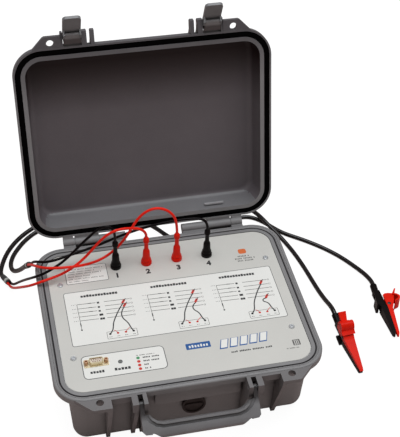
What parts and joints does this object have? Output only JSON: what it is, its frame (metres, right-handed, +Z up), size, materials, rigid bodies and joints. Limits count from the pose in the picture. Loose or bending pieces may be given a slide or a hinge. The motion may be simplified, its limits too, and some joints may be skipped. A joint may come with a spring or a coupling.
{
  "type": "loop impedance tester",
  "caption": "Portable loop impedance tester in a hinged plastic carrying case standing open, with a measuring panel, plugged leads, split cables and two spring clips.",
  "frame": {"origin": "centre of the flat underside of the base", "axes": "+Z up through the panel, -Y towards the front with the handle, +X to the right of someone facing the front"},
  "size_m": [0.5578, 0.5079, 0.4235],
  "materials": {
    "case_grey": "fine moulded texture",
    "lever_grey": "smooth moulded",
    "hook_grey": "smooth moulded",
    "handle_grey": "fine moulded texture",
    "valve_black": "smooth moulded",
    "seal_rubber": "matte",
    "panel_aluminium": "brushed",
    "overlay_print": "printed film",
    "steel": "plated",
    "black_plastic": "semi-gloss",
    "red_plastic": "semi-gloss",
    "black_cable": "satin jacket",
    "red_cable": "satin jacket",
    "sleeve_grey": "heat-shrunk sleeve",
    "connector_gold": "yellow chromate on steel",
    "lamp_clear": "unlit lamp",
    "board_green": "solder mask",
    "sink_metal": "extruded"
  },
  "bodies": {
    "base": {"base_shell": "case_grey", "left_front_fittings": "case_grey", "right_front_fittings": "case_grey", "panel_plate": "panel_aluminium", "panel_overlay": "overlay_print", "panel_screws": "steel", "hinge_pins": "steel", "handle_pins": "steel", "purge_valve_body": "valve_black", "purge_valve_seal": "seal_rubber", "socket_1": "black_plastic", "socket_2": "red_plastic", "socket_3": "red_plastic", "socket_4": "black_plastic", "socket_nuts": "steel", "plug_1": "black_plastic", "plug_2": "red_plastic", "plug_3": "red_plastic", "plug_4": "black_plastic", "lead_1": "black_cable", "lead_2": "red_cable", "lead_3": "red_cable", "lead_4": "black_cable", "split_sleeve_a": "sleeve_grey", "split_sleeve_b": "sleeve_grey", "cable_a": "black_cable", "cable_b": "black_cable", "clip_1_body": "black_plastic", "clip_1_pivot": "steel", "clip_1_spring": "steel", "clip_2_body": "black_plastic", "clip_2_pivot": "steel", "clip_2_spring": "steel", "serial_shell": "connector_gold", "serial_insert": "sleeve_grey", "serial_jack_screws": "connector_gold", "status_lamp": "lamp_clear", "lamp_bezel": "sleeve_grey", "main_board": "board_green", "board_spacers": "steel", "heat_sink": "sink_metal", "load_resistors": "sink_metal", "relays": "black_plastic"},
    "lid": {"lid_shell": "case_grey", "lid_gasket": "seal_rubber", "lever_pins": "steel"},
    "left_lever": {"left_latch_lever": "lever_grey", "left_hook_pin": "steel"},
    "right_lever": {"right_latch_lever": "lever_grey", "right_hook_pin": "steel"},
    "left_hook": {"left_latch_hook": "hook_grey"},
    "right_hook": {"right_latch_hook": "hook_grey"},
    "handle": {"handle": "handle_grey"},
    "valve_knob": {"purge_valve_knob": "valve_black"},
    "clip_1_jaw": {"clip_1_jaw": "red_plastic"},
    "clip_2_jaw": {"clip_2_jaw": "red_plastic"}
  },
  "joints": [
    {"name": "lid_hinge", "type": "hinge", "parent": "base", "child": "lid", "pos_m": [0, 0.14433, 0.106], "axis": [1, 0, 0], "range_deg": [0, 60]},
    {"name": "left_lever_pivot", "type": "hinge", "parent": "lid", "child": "left_lever", "pos_m": [-0.0906, 0.22453, 0.38619], "axis": [1, 0, 0], "range_deg": [-45, 51.5]},
    {"name": "left_hook_pivot", "type": "hinge", "parent": "left_lever", "child": "left_hook", "pos_m": [-0.0906, 0.21533, 0.39303], "axis": [1, 0, 0], "range_deg": [-165, 0]},
    {"name": "right_lever_pivot", "type": "hinge", "parent": "lid", "child": "right_lever", "pos_m": [0.0906, 0.22453, 0.38619], "axis": [1, 0, 0], "range_deg": [-45, 51.5]},
    {"name": "right_hook_pivot", "type": "hinge", "parent": "right_lever", "child": "right_hook", "pos_m": [0.0906, 0.21533, 0.39303], "axis": [1, 0, 0], "range_deg": [-165, 0]},
    {"name": "handle_pivot", "type": "hinge", "parent": "base", "child": "handle", "pos_m": [0, -0.146, 0.097], "axis": [-1, 0, 0], "range_deg": [0, 125]},
    {"name": "purge_valve_turn", "type": "hinge", "parent": "base", "child": "valve_knob", "pos_m": [0.001, -0.118, 0.0505], "axis": [0, -1, 0], "range_deg": [0, 180]},
    {"name": "clip_1_hinge", "type": "hinge", "parent": "base", "child": "clip_1_jaw", "pos_m": [0.24016, -0.02101, 0.01801], "axis": [-0.9976, -0.0698, 0], "range_deg": [0, 25], "stiffness_Nm_per_rad": 0.6},
    {"name": "clip_2_hinge", "type": "hinge", "parent": "base", "child": "clip_2_jaw", "pos_m": [0.31913, 0.02901, 0.0096], "axis": [0, 0, 1], "range_deg": [0, 25], "stiffness_Nm_per_rad": 0.6}
  ]
}
